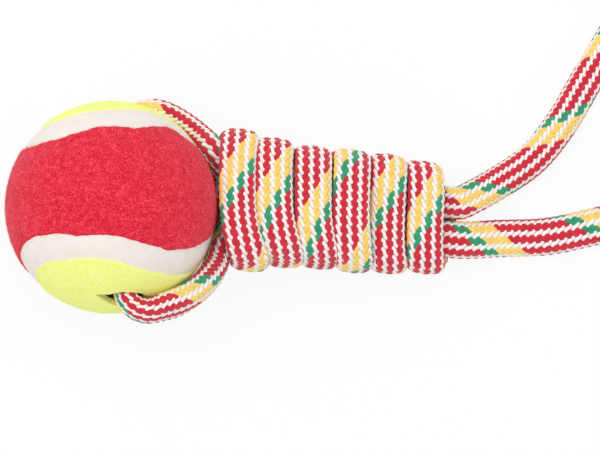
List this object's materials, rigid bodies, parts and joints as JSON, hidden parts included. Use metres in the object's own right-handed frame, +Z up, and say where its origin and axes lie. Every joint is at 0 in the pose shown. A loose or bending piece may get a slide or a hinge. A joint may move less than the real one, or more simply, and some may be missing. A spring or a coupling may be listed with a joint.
{
  "type": "dog tug toy",
  "caption": "Felt-covered ball threaded on one braided rope, held by a long wound knot, with a hand loop at the other end.",
  "frame": {"origin": "middle of the underside of everything but the hand loop, on the surface that the toy lies on", "axes": "+X from the ball along the knot to the hand loop, +Y across the lying toy, +Z up"},
  "size_m": [0.2935, 0.1389, 0.0649],
  "materials": {
    "braid": "soft matt braid of red, white, yellow and green yarns",
    "sealed_end": "yarn ends melted together, matt",
    "rubber": "matt moulded rubber",
    "red_felt": "short fuzzy felt, speckled",
    "lime_felt": "short fuzzy felt, even",
    "cement": "smooth matt cement"
  },
  "bodies": {
    "rope": {"winding": "braid", "core_strand_out": "braid", "core_strand_back": "braid", "ball_run_lower": "braid", "ball_run_upper": "braid", "ball_run_inside": "braid", "rope_end_a": "sealed_end", "rope_end_b": "sealed_end"},
    "ball": {"ball_core_lower": "rubber", "ball_core_upper": "rubber", "felt_red": "red_felt", "felt_lime": "lime_felt", "seam": "cement"},
    "handle": {"handle_loop": "braid"}
  },
  "joints": [
    {"name": "ball_spin", "type": "hinge", "parent": "rope", "child": "ball", "pos_m": [-0.03708, 0.00083, 0.0325], "axis": [0.1513, -0.8687, 0.4717], "continuous": true},
    {"name": "handle_swing", "type": "hinge", "parent": "rope", "child": "handle", "pos_m": [0.06802, -0.00311, 0.00873], "axis": [-0.0806, -0.9958, 0.0442], "range_deg": [0, 75]}
  ]
}
